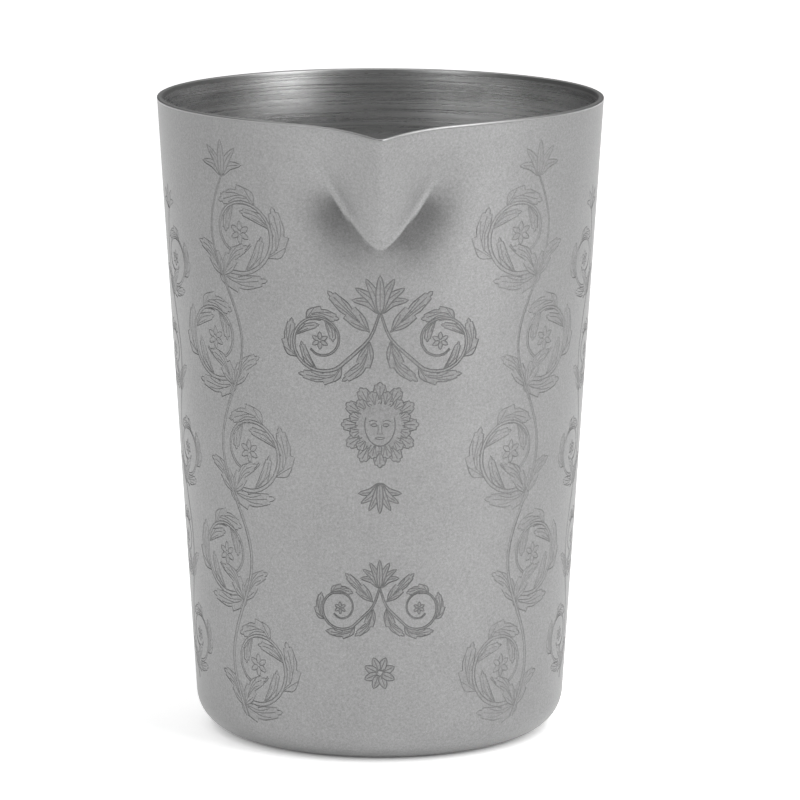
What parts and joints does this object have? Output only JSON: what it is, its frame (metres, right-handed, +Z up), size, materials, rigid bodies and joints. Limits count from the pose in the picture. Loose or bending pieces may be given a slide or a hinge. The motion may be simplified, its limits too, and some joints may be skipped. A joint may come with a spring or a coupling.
{
  "type": "mixing glass",
  "caption": "Tapered double-wall steel mixing vessel with a pressed V-shaped pouring spout and a ground, welded lip.",
  "frame": {"origin": "centre of the flat base, on the vessel's axis", "axes": "+Z up along the vessel's axis, the spout towards -Y, +X to the right when facing the spout"},
  "size_m": [0.095, 0.1043, 0.1365],
  "materials": {
    "satin_steel": "bead-blasted satin with etched ornament",
    "brushed_steel": "circumferential brush",
    "polished_steel": "polished",
    "spun_steel": "spun satin",
    "weld_steel": "ground weld",
    "plain_steel": "as blanked",
    "bonding_resin": "matt",
    "solder": "ground flush"
  },
  "bodies": {
    "root": {"outer_shell": "satin_steel", "inner_liner": "brushed_steel", "rim_weld": "polished_steel", "base_plate": "spun_steel", "base_weld": "weld_steel", "base_weight": "plain_steel", "weight_bond": "bonding_resin", "vent_plug": "solder"}
  },
  "joints": []
}
